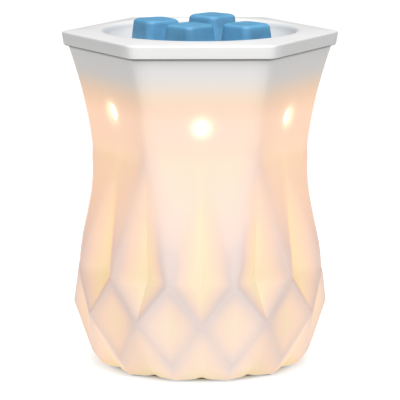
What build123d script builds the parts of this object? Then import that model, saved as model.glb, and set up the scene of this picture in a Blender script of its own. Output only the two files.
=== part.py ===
from build123d import *
import math
import os

# Wax warmer pot: a faceted porcelain body lit by a small bulb, with a lift-off wax dish on top.
# Millimetres, +Z up. Origin on the table under the middle of the pot; a flat side faces -Y.

os.makedirs("parts", exist_ok=True)

# ------------------------------------------------------------------ driving dimensions
# Body: a hexagon that flares to the top, over a faceted lower half
body_height = 169.2         # table to the top edge of the body
top_apothem = 60.4          # axis to the middle of a side, at the top edge
waist_apothem = 50.0        # the same at the waist, where the long facets start
corner_round = 5.0          # fillet on the six upright corners
hollow_corner_round = 12.0  # the same inside
flare_power = 1.3           # how the flare speeds up from waist to top
flare_shares = (0.0, 0.25, 0.5, 0.75, 1.0)
hollow_round = 0.9          # corner fillet of the lower hollow as a share of its apothem
wall = 4.0                  # porcelain wall along the sides
lip_round = 0.8             # rounding of the body's top edge

# Facet rings, twelve-fold: A and C stand at 15 degrees, B and the grooves at 0 and 30 degrees
ring_a_height = 53.7
ring_a_radius = 66.8
ring_b_height = 32.4
ring_b_radius = 67.4
ring_c_height = 9.3
ring_c_radius = 59.8
groove_a_radius = 55.0      # bottom of the long V grooves, at ring A
diamond_radius = 61.8       # middle of the dished diamonds, at ring B
groove_c_radius = 55.2      # middle of the lowest triangles, at ring C
foot_lobe_radius = 53.0
foot_notch_radius = 49.0
facet_count = 12

# Light holes, one through each side
light_hole_drop = 36.1      # below the top edge, on the front side
light_hole_radius = 4.2
light_hole_rises = (0.0, 1.8, 1.0, 0.5, 2.5, 4.4)   # hand-cut, so each sits a little higher or lower
groove_drop = 17.0          # from a light hole down to the start of the grooves

# Floor, foot ring and what stands in it
pad_stand = 0.8             # how far the foot pads hold the body off the table
pad_radius = 4.0
pad_thickness = 1.6
pad_count = 4
pad_circle = 46.6
foot_recess_radius = 43.0
floor_underside = 13.0
floor_thickness = 5.0

# Dish
rim_overhang = 2.9          # rim past the body's top edge
rim_height = 8.4
rim_taper = 0.8             # how far the rim's side leans in towards the bottom
rim_corner_round = 4.0
rim_edge_round = 1.0        # the rim's outer edges
mouth_round = 2.0           # the edge where the rim turns into the bowl
bowl_floor_radius = 45.0
bowl_depth = 16.6
dish_wall = 3.6
bowl_floor_round = 5.0
bowl_root = 2.0             # how far the bowl's outside runs up into the rim
bowl_neck_height = 3.0      # steep band at the top of the bowl's outside
bowl_neck_lean = 0.6

# Wax cubes: name, place on the bowl's floor, turn
cube_base = 22.8
cube_top = 19.6
cube_height = 22.0
cube_round = 3.8
cube_edge_round = 2.4
cube_places = (
    ("wax_cube_middle", -5.6, -24.0, 43.0),
    ("wax_cube_left", -23.0, 0.5, 28.0),
    ("wax_cube_right", 23.7, -21.6, 42.0),
    ("wax_cube_back", 6.8, 20.5, 47.0),
)

# Cord inlet, through the foot ring at the back
inlet_height = 6.9
inlet_neck_radius = 4.0
inlet_bore_radius = 3.0
inlet_flange_radius = 5.6
inlet_flange = 1.5
inlet_flange_lean = 0.6     # the outer flange's slope
inlet_outer_face = 49.5
inlet_inner_face = 44.5
spot_face_margin = 0.9

# Bottom cover
cover_thickness = 1.5
cover_base = 1.9
cover_rib_count = 6
cover_rib_radius = 1.2
label_length = 38.0         # shallow seat for a rating label
label_width = 22.0
label_round = 2.0
label_depth = 0.3

# Lamp holder for a small screw cap (E14), clamped to the floor by a threaded nipple
nipple_radius = 5.0
nipple_bore = 3.9
nipple_below = 6.2          # how far it hangs below the floor's underside
nipple_above = 1.0          # how far it stands above the upper nut
nipple_chamfer = 0.5
nut_across_flats = 14.0
nut_height = 3.0
lock_washer_height = 1.0
floor_washer_height = 1.2
washer_radius = 9.5
lock_washer_radius = 8.5
lock_washer_teeth = 10
lock_notch_depth = 1.6
lock_notch_width = 1.4
holder_radius = 15.0
holder_wall = 2.0
holder_cap_height = 17.0
holder_cap_round = 2.5
holder_ledge = 1.5          # width and height of the ledge under the contact block
block_height = 6.0
conductor_way_radius = 1.6
skirt_radius = 11.0
skirt_height = 20.0
skirt_flange = 3.0
skirt_spigot = 1.0          # how far the skirt enters the holder's cap
skirt_edge_round = 1.2
shell_inner_radius = 7.1
shell_wall = 0.5
shell_height = 15.5
shell_above_tip = 0.5       # shell's lower edge above the centre contact
shell_leg_lap = 1.0         # how far the leg runs up beside the shell's wall
shell_foot_lap = 0.75       # how far the foot runs in under the leg
contact_thickness = 0.5
contact_width = 4.0
contact_rise = 1.5
contact_tail = 2.5          # the strip's end past the middle
contact_bend_foot = 4.0     # where the strip leaves the block, on its upper face
contact_bend_top = 2.0      # where it reaches the bulb's tip
contact_inner_foot = 3.2    # the same bends on its lower face
contact_inner_top = 1.6
contact_foot_margin = 2.0   # both contacts' feet past their screws
terminal_offset = 8.5
terminal_shank = 1.4
terminal_head = 2.6
terminal_head_height = 2.0
terminal_slot = 0.8
terminal_end = 0.5          # shank's end below the block's top

# Bulb, a 25 W golf-ball lamp
bulb_length = 78.0
globe_radius = 22.5
glass_wall = 0.7
neck_radius = 7.8
neck_blend_angle = 40.0     # from the bottom of the globe to where the neck's cone meets it
cap_thread_radius = 6.75
cap_thread_depth = 0.5
cap_thread_pitch = 2.82
cap_thread_turns = 5
thread_flank = 0.35         # share of the pitch that each flank takes
cap_wall = 0.4
cap_flare_radius = 8.5
cap_flare_height = 2.5
cap_collar = 1.0
cap_step = 0.2              # the flare's inside above its outside
tip_height = 1.5
tip_radius = 2.6
tip_chamfer = 0.4
insulator_height = 3.5
insulator_margin = 0.6      # glass around the tip contact
insulator_edge = 0.4        # where its cone ends, below the cap
insulator_lap = 1.0         # how far it fills the cap's lower end
glass_seat = 0.3            # glass above the cap's flare, and the stem above the glass
stem_seat = 0.5
stem_radius = 2.2
stem_top = 39.0             # above the tip contact
stem_foot_height = 0.8
stem_shoulder = 1.6         # how much wider the stem is at its shoulder
stem_shoulder_height = 3.5
stem_neck_height = 8.0
stem_point_height = 1.0
stem_point_lean = 0.8
filament_rise = 13.0        # from the stem's top to the filament's ends
filament_half_width = 7.5
filament_bow = 3.0
filament_radius = 0.35
wire_radius = 0.3
wire_foot_offset = 1.0

# Clearances
fit = 0.1                   # pieces of one body that slip together
bowl_clearance = 2.4        # bowl to the body's mouth
cover_clearance = 0.5       # bottom cover to the wall of its recess
foot_way_clearance = 0.3    # holder's skirt to the feet of the contacts

# ------------------------------------------------------------------ derived heights and radii
body_base = pad_stand
light_hole_height = body_height - light_hole_drop
groove_top = light_hole_height - groove_drop
flare_height = body_height - groove_top
hole_cut_start = waist_apothem - 3 * wall   # inside the wall at any height
hole_cut_length = 6 * wall                  # long enough to come out of the wall
foot_wall = 2 * wall                        # the wall thickens towards the floor
middle_wall = 1.5 * wall
floor_top = floor_underside + floor_thickness
rim_apothem = top_apothem + rim_overhang
rim_top = body_height + rim_height
bowl_radius = top_apothem - wall - bowl_clearance - dish_wall
bowl_floor = rim_top - bowl_depth
holder_base = floor_top + floor_washer_height
block_base = holder_base + holder_cap_height - block_height - skirt_spigot
block_top = block_base + block_height
tip_base = block_top + contact_rise
bulb_top = tip_base + bulb_length
cap_base = tip_base + tip_height + insulator_height
cap_thread_height = cap_thread_pitch * cap_thread_turns
cap_top = cap_base + cap_thread_height + cap_flare_height
globe_centre = bulb_top - globe_radius


def round_the_axis(radius, azimuth, height):
    """A point at an azimuth counted from the front (-Y) towards +X."""
    angle = math.radians(azimuth)
    return Vector(radius * math.sin(angle), -radius * math.cos(angle), height)


def flare_apothem(share):
    """Apothem of the body's side at a share of the flare, 0 at the waist and 1 at the top."""
    return waist_apothem + (top_apothem - waist_apothem) * share**flare_power


def hexagon_section(height, apothem, rounding):
    """Rounded hexagon with flats towards -Y and +Y, as a face for a loft."""
    with BuildSketch(Plane.XY.offset(height)) as section:
        RegularPolygon(apothem, 6, major_radius=False)
        fillet(section.vertices(), rounding)
    return section.sketch


def flare_sections(inset, rounding):
    """Sections of the flared upper body from waist to top, moved in by an inset."""
    return [
        hexagon_section(groove_top + flare_height * share, flare_apothem(share) - inset, rounding)
        for share in flare_shares
    ]


def facet_form(rings):
    """Closed solid through rings of points from top to bottom.

    Each ring gives its height and its radii at the middle of a side, between, and at a corner.
    The quads between two rings are split the other way on every step, so that the ridges
    run zigzag from ring to ring.
    """
    steps = 2 * facet_count
    points = []
    for height, side_radius, between_radius, corner_radius in rings:
        radii = (side_radius, between_radius, corner_radius, between_radius)
        points.append([round_the_axis(radii[k % 4], 360.0 * k / steps, height) for k in range(steps)])
    faces = [Face(Wire.make_polygon(points[0])), Face(Wire.make_polygon(points[-1]))]
    for level, (upper, lower) in enumerate(zip(points, points[1:])):
        for k in range(steps):
            n = (k + 1) % steps
            if (k + level) % 2 == 0:
                halves = ((upper[k], upper[n], lower[n]), (upper[k], lower[n], lower[k]))
            else:
                halves = ((upper[k], upper[n], lower[k]), (upper[n], lower[n], lower[k]))
            faces += [Face(Wire.make_polygon(corners)) for corners in halves]
    return Solid(Shell(faces))


def write(part, name):
    """Label one finished piece and write its STEP file."""
    part.label = name
    export_step(part, f"parts/{name}.step")


# ------------------------------------------------------------------ body shell
waist_corner = (waist_apothem - corner_round) / math.cos(math.radians(30)) + corner_round
waist_between = min(waist_apothem / math.cos(math.radians(15)), waist_corner)
facet_rings = (
    (groove_top, waist_apothem, waist_between, waist_corner),
    (ring_a_height, groove_a_radius, ring_a_radius, groove_a_radius),
    (ring_b_height, ring_b_radius, diamond_radius, ring_b_radius),
    (ring_c_height, groove_c_radius, ring_c_radius, groove_c_radius),
    (body_base, foot_notch_radius, foot_lobe_radius, foot_notch_radius),
)
lower_form = facet_form(facet_rings)
hollow_sections = [
    hexagon_section(height, apothem, hollow_round * apothem)
    for height, apothem in (
        (floor_top, groove_c_radius - foot_wall),
        (ring_b_height, diamond_radius - middle_wall),
        (ring_a_height, groove_a_radius - wall),
    )
]
hollow_sections.append(hexagon_section(groove_top, waist_apothem - wall, hollow_corner_round))

with BuildPart() as body_shell:
    loft(flare_sections(0.0, corner_round))
    top_edges = body_shell.faces().sort_by(Axis.Z)[-1].edges()
    fillet(top_edges, lip_round)
    add(lower_form)
    # the hollow, from the floor to the mouth
    loft(hollow_sections, ruled=True, mode=Mode.SUBTRACT)
    loft(flare_sections(wall, hollow_corner_round), mode=Mode.SUBTRACT)
    # the recess under the floor, inside the foot ring
    with BuildSketch(Plane.XY.offset(body_base)):
        Circle(foot_recess_radius)
    extrude(amount=floor_underside - body_base, mode=Mode.SUBTRACT)
    # the nipple's hole through the floor
    with BuildSketch(Plane.XY.offset(floor_underside)):
        Circle(nipple_radius + fit)
    extrude(amount=floor_thickness, mode=Mode.SUBTRACT)
    # the light holes, one through each side
    for side, rise in enumerate(light_hole_rises):
        outward = round_the_axis(1.0, 60.0 * side, 0.0)
        start = Vector(0, 0, light_hole_height + rise) + outward * hole_cut_start
        with BuildSketch(Plane(origin=start, z_dir=outward)):
            Circle(light_hole_radius)
        extrude(amount=hole_cut_length, mode=Mode.SUBTRACT)
    # seats for the foot pads
    with BuildSketch(Plane.XY.offset(body_base)):
        with PolarLocations(pad_circle, pad_count, start_angle=45):
            Circle(pad_radius)
    extrude(amount=pad_thickness - pad_stand, mode=Mode.SUBTRACT)
    # the cord inlet's hole, with a flat each side for its flanges
    with BuildSketch(Plane(origin=(0, inlet_inner_face - inlet_flange, inlet_height), z_dir=(0, 1, 0))):
        Circle(inlet_neck_radius + fit)
    extrude(amount=ring_b_radius - inlet_inner_face, mode=Mode.SUBTRACT)
    with BuildSketch(Plane(origin=(0, inlet_outer_face, inlet_height), z_dir=(0, 1, 0))):
        Circle(inlet_flange_radius + spot_face_margin)
    extrude(amount=ring_b_radius - inlet_outer_face, mode=Mode.SUBTRACT)
    with BuildSketch(Plane(origin=(0, inlet_inner_face, inlet_height), z_dir=(0, -1, 0))):
        Circle(inlet_flange_radius + spot_face_margin)
    extrude(amount=2 * inlet_flange, mode=Mode.SUBTRACT)
write(body_shell.part, "body_shell")

# ------------------------------------------------------------------ foot pads and bottom cover
with BuildPart() as foot_pads:
    with BuildSketch(Plane.XY):
        with PolarLocations(pad_circle, pad_count, start_angle=45):
            Circle(pad_radius - fit)
    extrude(amount=pad_thickness)
write(foot_pads.part, "foot_pads")

cover_radius = foot_recess_radius - cover_clearance
with BuildPart() as bottom_cover:
    with BuildSketch(Plane.XY.offset(cover_base)):
        Circle(cover_radius)
    extrude(amount=cover_thickness)
    # crush ribs that grip the wall of the recess
    with BuildSketch(Plane.XY.offset(cover_base)):
        with PolarLocations(foot_recess_radius - cover_rib_radius, cover_rib_count, start_angle=30):
            Circle(cover_rib_radius)
    extrude(amount=cover_thickness)
    with BuildSketch(Plane.XY.offset(cover_base)):
        RectangleRounded(label_length, label_width, label_round)
    extrude(amount=label_depth, mode=Mode.SUBTRACT)
write(bottom_cover.part, "bottom_cover")

# ------------------------------------------------------------------ cord inlet
with BuildPart() as cord_grommet:
    with BuildSketch(Plane.XY):
        with BuildLine():
            Polyline(
                (inlet_bore_radius, inlet_inner_face - inlet_flange),
                (inlet_flange_radius, inlet_inner_face - inlet_flange),
                (inlet_flange_radius, inlet_inner_face),
                (inlet_neck_radius, inlet_inner_face),
                (inlet_neck_radius, inlet_outer_face),
                (inlet_flange_radius, inlet_outer_face),
                (inlet_flange_radius - inlet_flange_lean, inlet_outer_face + inlet_flange),
                (inlet_bore_radius, inlet_outer_face + inlet_flange),
                close=True,
            )
        make_face()
    revolve(axis=Axis.Y)
cord_grommet.part.position = (0, 0, inlet_height)
write(cord_grommet.part, "cord_grommet")

# ------------------------------------------------------------------ nipple, nuts and washers
nipple_base = floor_underside - nipple_below
top_nut_base = holder_base + holder_wall
bottom_nut_base = floor_underside - floor_washer_height - lock_washer_height - nut_height

with BuildPart() as threaded_nipple:
    with BuildSketch(Plane.XY.offset(nipple_base)):
        Circle(nipple_radius)
        Circle(nipple_bore, mode=Mode.SUBTRACT)
    extrude(amount=top_nut_base + nut_height + nipple_above - nipple_base)
    outer_edges = threaded_nipple.edges().filter_by(GeomType.CIRCLE).group_by(SortBy.RADIUS)[-1]
    chamfer(outer_edges, nipple_chamfer)
write(threaded_nipple.part, "threaded_nipple")

with BuildPart() as nipple_nuts:
    for base in (bottom_nut_base, top_nut_base):
        with BuildSketch(Plane.XY.offset(base)):
            RegularPolygon(nut_across_flats / 2, 6, major_radius=False)
            Circle(nipple_radius + fit, mode=Mode.SUBTRACT)
        extrude(amount=nut_height)
write(nipple_nuts.part, "nipple_nuts")

with BuildPart() as floor_washers:
    for base in (floor_underside - floor_washer_height, floor_top):
        with BuildSketch(Plane.XY.offset(base)):
            Circle(washer_radius)
            Circle(nipple_radius + fit, mode=Mode.SUBTRACT)
        extrude(amount=floor_washer_height)
write(floor_washers.part, "floor_washers")

with BuildPart() as lock_washer:
    with BuildSketch(Plane.XY.offset(bottom_nut_base + nut_height)):
        Circle(lock_washer_radius)
        Circle(nipple_radius + fit, mode=Mode.SUBTRACT)
        with PolarLocations(lock_washer_radius, lock_washer_teeth):
            Rectangle(lock_notch_depth, lock_notch_width, mode=Mode.SUBTRACT)
    extrude(amount=lock_washer_height)
write(lock_washer.part, "lock_washer")

# ------------------------------------------------------------------ lamp holder
with BuildPart() as holder_cap:
    with BuildSketch(Plane.XY.offset(holder_base)):
        Circle(holder_radius)
    extrude(amount=holder_cap_height)
    fillet(holder_cap.edges().group_by(Axis.Z)[0], holder_cap_round)
    with BuildSketch(Plane.XY.offset(holder_base + holder_wall)):
        Circle(holder_radius - holder_wall)
    extrude(amount=holder_cap_height - holder_wall, mode=Mode.SUBTRACT)
    with BuildSketch(Plane.XY.offset(holder_base)):
        Circle(nipple_radius + fit)
    extrude(amount=holder_wall, mode=Mode.SUBTRACT)
    # ledge that carries the contact block
    with BuildSketch(Plane.XY.offset(block_base - holder_ledge)):
        Circle(holder_radius - holder_wall)
        Circle(holder_radius - holder_wall - holder_ledge, mode=Mode.SUBTRACT)
    extrude(amount=holder_ledge)
write(holder_cap.part, "holder_cap")

block_radius = holder_radius - holder_wall - fit
terminal_places = ((terminal_offset, 0.0), (-terminal_offset, 0.0))
with BuildPart() as contact_block:
    with BuildSketch(Plane.XY.offset(block_base)):
        Circle(block_radius)
        with Locations(*terminal_places):
            Circle(terminal_shank + fit / 2, mode=Mode.SUBTRACT)
        # ways for the two conductors
        with Locations((0, terminal_offset), (0, -terminal_offset)):
            Circle(conductor_way_radius, mode=Mode.SUBTRACT)
    extrude(amount=block_height)
write(contact_block.part, "contact_block")

with BuildPart() as terminal_screws:
    with BuildSketch(Plane.XY.offset(block_base - terminal_head_height)):
        with Locations(*terminal_places):
            Circle(terminal_head)
    extrude(amount=terminal_head_height)
    with BuildSketch(Plane.XY.offset(block_base - terminal_head_height)):
        with Locations(*terminal_places):
            Rectangle(terminal_slot, 2 * terminal_head)
    extrude(amount=terminal_slot, mode=Mode.SUBTRACT)
    with BuildSketch(Plane.XY.offset(block_base)):
        with Locations(*terminal_places):
            Circle(terminal_shank)
    extrude(amount=block_height - terminal_end)
write(terminal_screws.part, "terminal_screws")

foot_reach = terminal_offset + contact_foot_margin
with BuildPart() as centre_contact:
    with BuildSketch(Plane.XZ):
        with BuildLine():
            Polyline(
                (-contact_tail, block_top),
                (foot_reach, block_top),
                (foot_reach, block_top + contact_thickness),
                (contact_bend_foot, block_top + contact_thickness),
                (contact_bend_top, tip_base),
                (-contact_tail, tip_base),
                (-contact_tail, tip_base - contact_thickness),
                (contact_inner_top, tip_base - contact_thickness),
                (contact_inner_foot, block_top + contact_thickness),
                (-contact_tail, block_top + contact_thickness),
                close=True,
            )
        make_face()
    extrude(amount=contact_width / 2, both=True)
write(centre_contact.part, "centre_contact")

shell_outer_radius = shell_inner_radius + shell_wall
shell_base = tip_base + shell_above_tip
shell_foot_start = shell_outer_radius - shell_foot_lap
with BuildPart() as screw_shell:
    with BuildSketch(Plane.XY.offset(shell_base)):
        Circle(shell_outer_radius)
        Circle(shell_inner_radius, mode=Mode.SUBTRACT)
    extrude(amount=shell_height)
    # leg down to the neutral terminal
    with BuildSketch(Plane.XY.offset(block_top)):
        Circle(shell_outer_radius)
        Circle(shell_inner_radius, mode=Mode.SUBTRACT)
        with Locations((-shell_outer_radius, 0)):
            Rectangle(4 * shell_wall, contact_width, mode=Mode.INTERSECT)
    extrude(amount=shell_base + shell_leg_lap - block_top)
    with BuildSketch(Plane.XY.offset(block_top)):
        with Locations((-(foot_reach + shell_foot_start) / 2, 0)):
            Rectangle(foot_reach - shell_foot_start, contact_width)
    extrude(amount=contact_thickness)
write(screw_shell.part, "screw_shell")

skirt_bore = shell_outer_radius + fit
with BuildPart() as holder_skirt:
    with BuildSketch(Plane.XY.offset(block_top)):
        Circle(skirt_radius)
    extrude(amount=skirt_height)
    fillet(holder_skirt.edges().group_by(Axis.Z)[-1], skirt_edge_round)
    with BuildSketch(Plane.XY.offset(block_top)):
        Circle(block_radius)
    extrude(amount=skirt_spigot)
    with BuildSketch(Plane.XY.offset(block_top + skirt_spigot)):
        Circle(holder_radius)
    extrude(amount=skirt_flange)
    with BuildSketch(Plane.XY.offset(block_top)):
        Circle(skirt_bore)
    extrude(amount=skirt_height, mode=Mode.SUBTRACT)
    # ways for the feet of the two contacts
    with BuildSketch(Plane.XY.offset(block_top)):
        Rectangle(2 * (foot_reach + foot_way_clearance), contact_width + 2 * foot_way_clearance)
    extrude(amount=contact_thickness + foot_way_clearance, mode=Mode.SUBTRACT)
write(holder_skirt.part, "holder_skirt")

# ------------------------------------------------------------------ bulb
with BuildPart() as tip_contact:
    with BuildSketch(Plane.XY.offset(tip_base)):
        Circle(tip_radius)
    extrude(amount=tip_height)
    chamfer(tip_contact.edges().group_by(Axis.Z)[0], tip_chamfer)
write(tip_contact.part, "tip_contact")

cap_bore = cap_thread_radius - cap_thread_depth - cap_wall
with BuildPart() as cap_insulator:
    with BuildSketch(Plane.XZ):
        with BuildLine():
            Polyline(
                (0, cap_base - insulator_height),
                (tip_radius + insulator_margin, cap_base - insulator_height),
                (cap_bore, cap_base - insulator_edge),
                (cap_bore, cap_base + insulator_lap),
                (0, cap_base + insulator_lap),
                close=True,
            )
        make_face()
    revolve(axis=Axis.Z)
write(cap_insulator.part, "cap_insulator")

with BuildPart() as bulb_cap:
    with BuildSketch(Plane.XZ):
        with BuildLine() as cap_outline:
            crests = []
            for turn in range(cap_thread_turns):
                start = cap_base + cap_thread_pitch * turn
                crests += [
                    (cap_thread_radius - cap_thread_depth, start),
                    (cap_thread_radius, start + cap_thread_pitch * thread_flank),
                    (cap_thread_radius, start + cap_thread_pitch * (1 - thread_flank)),
                ]
            Polyline(
                (cap_bore, cap_base),
                *crests,
                (cap_thread_radius - cap_thread_depth, cap_base + cap_thread_height),
                (cap_flare_radius, cap_top),
                (cap_flare_radius, cap_top + cap_collar),
                (neck_radius + fit, cap_top + cap_collar),
                (neck_radius + fit, cap_top + cap_step),
                (cap_bore, cap_base + cap_thread_height + cap_step),
                close=True,
            )
        make_face()
    revolve(axis=Axis.Z)
write(bulb_cap.part, "bulb_cap")


def globe_outline(inset, base):
    """Half outline of the glass, moved in by an inset, from its base up to the axis."""
    radius = globe_radius - inset
    angle = math.radians(neck_blend_angle)
    blend_x = radius * math.sin(angle)
    blend_z = globe_centre - radius * math.cos(angle)
    cone_length = (blend_x - (neck_radius - inset)) / math.cos(angle)
    cone_base = blend_z - cone_length * math.sin(angle)
    with BuildLine(Plane.XZ) as outline:
        Line((0, base), (neck_radius - inset, base))
        Line((neck_radius - inset, base), (neck_radius - inset, cone_base))
        Line((neck_radius - inset, cone_base), (blend_x, blend_z))
        ThreePointArc((blend_x, blend_z), (radius, globe_centre), (0, globe_centre + radius))
        Line((0, globe_centre + radius), (0, base))
    return outline.line


glass_base = cap_top + glass_seat
stem_base = glass_base + stem_seat
with BuildPart() as bulb_glass:
    with BuildSketch(Plane.XZ):
        add(make_face(globe_outline(0.0, glass_base), mode=Mode.PRIVATE))
    revolve(axis=Axis.Z)
    with BuildSketch(Plane.XZ):
        add(make_face(globe_outline(glass_wall, glass_base), mode=Mode.PRIVATE))
    revolve(axis=Axis.Z, mode=Mode.SUBTRACT)
write(bulb_glass.part, "bulb_glass")

stem_tip = tip_base + stem_top
with BuildPart() as bulb_stem:
    with BuildSketch(Plane.XZ):
        with BuildLine():
            Polyline(
                (0, stem_base),
                (neck_radius - glass_wall - fit, stem_base),
                (neck_radius - glass_wall - fit, stem_base + stem_foot_height),
                (stem_radius + stem_shoulder, stem_base + stem_shoulder_height),
                (stem_radius, stem_base + stem_neck_height),
                (stem_radius, stem_tip - stem_point_height),
                (stem_radius - stem_point_lean, stem_tip),
                (0, stem_tip),
                close=True,
            )
        make_face()
    revolve(axis=Axis.Z)
write(bulb_stem.part, "bulb_stem")

filament_height = stem_tip + filament_rise


def wire(start, end, radius):
    """Straight round wire between two points."""
    run = Vector(*end) - Vector(*start)
    with BuildPart() as rod:
        with BuildSketch(Plane(origin=start, z_dir=run)):
            Circle(radius)
        extrude(amount=run.length)
    return rod.part


with BuildPart() as lead_wires:
    for hand in (-1, 1):
        foot = (hand * wire_foot_offset, 0, stem_tip + wire_radius / 2)
        end = (hand * filament_half_width, 0, filament_height - filament_radius)
        add(wire(foot, end, wire_radius))
write(lead_wires.part, "lead_wires")

with BuildPart() as filament:
    with BuildLine(Plane.XZ):
        ThreePointArc(
            (-filament_half_width, filament_height),
            (0, filament_height + filament_bow),
            (filament_half_width, filament_height),
        )
    with BuildSketch(Plane(origin=filament.pending_edges[0] @ 0, z_dir=filament.pending_edges[0] % 0)):
        Circle(filament_radius)
    sweep()
write(filament.part, "filament")

support_top = filament_height + filament_bow - filament_radius - fit
with BuildPart() as filament_support:
    add(wire((0, 0, stem_tip), (0, 0, support_top), wire_radius))
write(filament_support.part, "filament_support")

# ------------------------------------------------------------------ wax dish
bowl_wall_top = bowl_radius + dish_wall
with BuildPart() as wax_dish:
    bottom_face = hexagon_section(body_height, rim_apothem - rim_taper, rim_corner_round)
    top_face = hexagon_section(rim_top, rim_apothem, rim_corner_round)
    loft([bottom_face, top_face])
    rim_edges = wax_dish.faces().sort_by(Axis.Z)[-1].edges()
    rim_edges += wax_dish.faces().sort_by(Axis.Z)[0].edges()
    fillet(rim_edges, rim_edge_round)
    # the bowl below the rim, then its hollow
    with BuildSketch(Plane.XZ):
        with BuildLine() as bowl_outline:
            Polyline(
                (0, body_height + bowl_root),
                (bowl_wall_top, body_height + bowl_root),
                (bowl_wall_top - bowl_neck_lean, body_height - bowl_neck_height),
                (bowl_floor_radius + dish_wall, bowl_floor - dish_wall),
                (0, bowl_floor - dish_wall),
                close=True,
            )
        make_face()
        fillet(bowl_outline.vertices().group_by(Axis.Y)[0].sort_by(Axis.X)[-1], bowl_floor_round)
    revolve(axis=Axis.Z)
    with BuildSketch(Plane.XZ):
        with BuildLine() as hollow_outline:
            Polyline(
                (0, rim_top),
                (bowl_radius, rim_top),
                (bowl_floor_radius, bowl_floor),
                (0, bowl_floor),
                close=True,
            )
        make_face()
    revolve(axis=Axis.Z, mode=Mode.SUBTRACT)
    mouth_edges = wax_dish.edges().filter_by(GeomType.CIRCLE).group_by(Axis.Z)[-1]
    fillet(mouth_edges, mouth_round)
write(wax_dish.part, "wax_dish")

# ------------------------------------------------------------------ wax cubes
for name, place_x, place_y, turn in cube_places:
    with BuildPart() as wax_cube:
        with BuildSketch(Plane.XY.offset(bowl_floor)):
            RectangleRounded(cube_base, cube_base, cube_round)
        with BuildSketch(Plane.XY.offset(bowl_floor + cube_height)):
            RectangleRounded(cube_top, cube_top, cube_round)
        loft()
        fillet(wax_cube.faces().sort_by(Axis.Z)[-1].edges(), cube_edge_round)
    cube = Pos(place_x, place_y, 0) * Rot(0, 0, turn) * wax_cube.part
    write(cube, name)
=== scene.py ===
import math
import bpy
import numpy as np
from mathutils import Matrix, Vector


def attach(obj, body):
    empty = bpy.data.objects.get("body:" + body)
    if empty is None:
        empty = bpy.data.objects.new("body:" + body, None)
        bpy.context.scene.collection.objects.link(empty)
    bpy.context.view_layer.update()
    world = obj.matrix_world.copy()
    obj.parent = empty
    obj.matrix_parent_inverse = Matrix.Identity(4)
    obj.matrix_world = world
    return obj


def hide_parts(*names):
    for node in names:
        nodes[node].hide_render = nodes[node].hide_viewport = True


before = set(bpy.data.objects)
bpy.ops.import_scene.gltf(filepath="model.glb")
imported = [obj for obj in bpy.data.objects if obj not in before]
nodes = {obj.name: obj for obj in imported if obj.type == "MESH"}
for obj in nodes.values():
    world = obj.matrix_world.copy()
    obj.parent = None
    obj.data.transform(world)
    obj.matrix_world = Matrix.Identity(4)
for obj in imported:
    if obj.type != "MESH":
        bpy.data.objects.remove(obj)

# Wax warmer pot: the looks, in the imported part's own frame. Sizes in the dictionaries are millimetres and degrees.
mm = 0.001
deg = math.pi / 180
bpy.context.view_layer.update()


def smoothStep(low, high, x):
    # 0 at low, 1 at high, eased between
    t = np.clip((x - low) / (high - low), 0, 1)
    return t * t * (3 - 2 * t)


def fold(angle, period):
    # distance in angle to the nearest multiple of period
    return np.abs((angle + period / 2) % period - period / 2)


def softMin(values, softness):
    # -s ln(sum exp(-v/s)), shifted by the smallest so it never overflows
    stack = np.stack(values)
    low = stack.min(0)
    return low - softness * np.log(np.exp(-(stack - low) / softness).sum(0))


def softMax(values, softness):
    # the same for the largest: -softMin(-v)
    return -softMin([-v for v in values], softness)


def polygonRadius(phi, sides, apothem, cornerRound):
    # flat side: apothem / cos f; rounded corner: centre at d on the corner line, r = d cos b + sqrt(c^2 - d^2 sin^2 b)
    half = math.pi / sides
    f = fold(phi, 2 * half)
    d = (apothem - cornerRound) / math.cos(half)
    b = half - f
    arc = d * np.cos(b) + np.sqrt(np.maximum(cornerRound ** 2 - (d * np.sin(b)) ** 2, 0))
    tangent = np.arctan((apothem - cornerRound) * math.tan(half) / apothem)
    return np.where(f < tangent, apothem / np.cos(f), arc)


def gridMesh(name, x, y, z, closeRows=False, capStart=None, capEnd=None):
    # closed mesh from arrays of rows by columns in mm; columns wrap round, ends are capped by a pole
    rows, columns = x.shape
    points = np.stack([x, y, z], -1).reshape(-1, 3)
    index = np.arange(rows * columns).reshape(rows, columns)
    if closeRows:
        index = np.vstack([index, index[:1]])
    right = np.roll(index, -1, 1)
    quads = np.stack([index[:-1], right[:-1], right[1:], index[1:]], -1).reshape(-1, 4)
    faces = quads.tolist()
    for pole, row, flip in ((capStart, index[0], True), (capEnd, index[-1], False)):
        if pole is None:
            continue
        centre = np.full(columns, len(points))
        points = np.vstack([points, pole])
        ring = np.stack([row, np.roll(row, -1), centre] if not flip else [np.roll(row, -1), row, centre], -1)
        faces += ring.tolist()
    # signed volume from fans of each face decides which way the faces look
    first = np.array([f[:3] for f in faces])
    a, b, c = (points[first[:, k]] for k in range(3))
    volume = np.einsum("ij,ij->i", a, np.cross(b, c))
    fours = np.array([len(f) == 4 for f in faces])
    last = np.array([f[3] if len(f) == 4 else f[2] for f in faces])
    volume += np.where(fours, np.einsum("ij,ij->i", a, np.cross(c, points[last])), 0)
    if volume.sum() < 0:
        faces = [f[::-1] for f in faces]
    mesh = bpy.data.meshes.new(name)
    mesh.from_pydata((points * mm).tolist(), [], faces)
    mesh.validate()
    mesh.update()
    return mesh


def addPiece(name, mesh, body, stands, smoothAngle):
    # smooth shading, edges sharper than smoothAngle kept; moves with body, stands for the nodes named
    piece = bpy.data.objects.new(name, mesh)
    bpy.context.scene.collection.objects.link(piece)
    mesh.shade_smooth()
    mesh.set_sharp_from_angle(angle=smoothAngle * deg)
    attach(piece, body)
    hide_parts(*stands)
    print("built", name, len(mesh.polygons), "faces")
    return piece


def link(tree, source, output, target, socket):
    # one wire from a named output to a named input
    tree.links.new(source.outputs[output], target.inputs[socket])


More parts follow.
